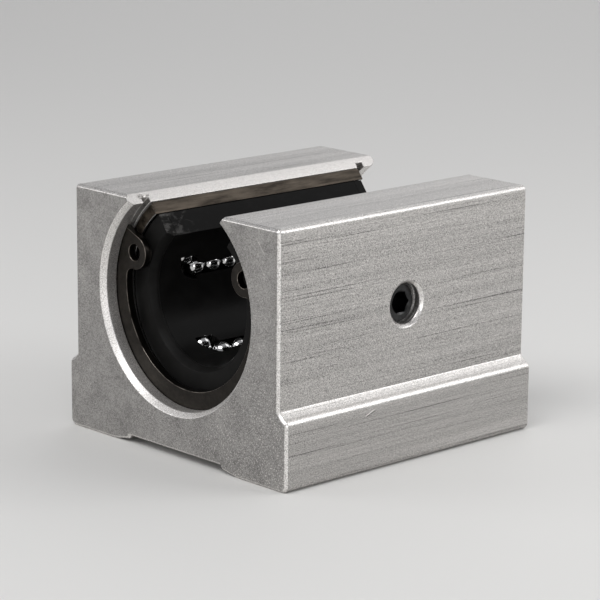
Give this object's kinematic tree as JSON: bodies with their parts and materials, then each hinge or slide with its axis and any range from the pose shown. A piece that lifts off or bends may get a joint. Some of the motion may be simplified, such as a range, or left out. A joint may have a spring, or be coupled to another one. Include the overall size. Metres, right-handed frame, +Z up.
{
  "type": "linear bearing block",
  "caption": "Open linear ball bearing pillow block: slotted aluminium housing, steel sleeve, ball cage, end circlips, side adjusting screw and tapped base for a rail-supported round shaft.",
  "frame": {"origin": "middle of the mounting face, at the height of its two feet", "axes": "+X across the block towards the side with the adjusting screw, +Y along the shaft, +Z up from the mounting face towards the slot"},
  "size_m": [0.048, 0.05, 0.0372],
  "materials": {
    "housing": "extruded and machined, fine streaks along the block",
    "sleeve_steel": "ground hardened steel",
    "cage_resin": "glossy black moulding",
    "seal_resin": "satin black moulding",
    "circlip_steel": "dark phosphated spring steel",
    "screw_steel": "black oxide",
    "ball_steel": "polished bearing steel"
  },
  "bodies": {
    "block": {"housing_block": "housing", "bearing_sleeve": "sleeve_steel", "ball_cage": "cage_resin", "front_seal": "seal_resin", "rear_seal": "seal_resin", "front_circlip": "circlip_steel", "rear_circlip": "circlip_steel", "circuit_1_loaded_balls": "ball_steel", "circuit_1_return_balls": "ball_steel", "circuit_1_front_turn_ball": "ball_steel", "circuit_1_rear_turn_ball": "ball_steel", "circuit_2_loaded_balls": "ball_steel", "circuit_2_return_balls": "ball_steel", "circuit_2_front_turn_ball": "ball_steel", "circuit_2_rear_turn_ball": "ball_steel", "circuit_3_loaded_balls": "ball_steel", "circuit_3_return_balls": "ball_steel", "circuit_3_front_turn_ball": "ball_steel", "circuit_3_rear_turn_ball": "ball_steel", "circuit_4_loaded_balls": "ball_steel", "circuit_4_return_balls": "ball_steel", "circuit_4_front_turn_ball": "ball_steel", "circuit_4_rear_turn_ball": "ball_steel"},
    "screw": {"adjusting_screw": "screw_steel"}
  },
  "joints": [
    {"name": "screw_advance", "type": "slide", "parent": "block", "child": "screw", "axis": [1, 0, 0], "range_m": [0, 0.005]}
  ]
}
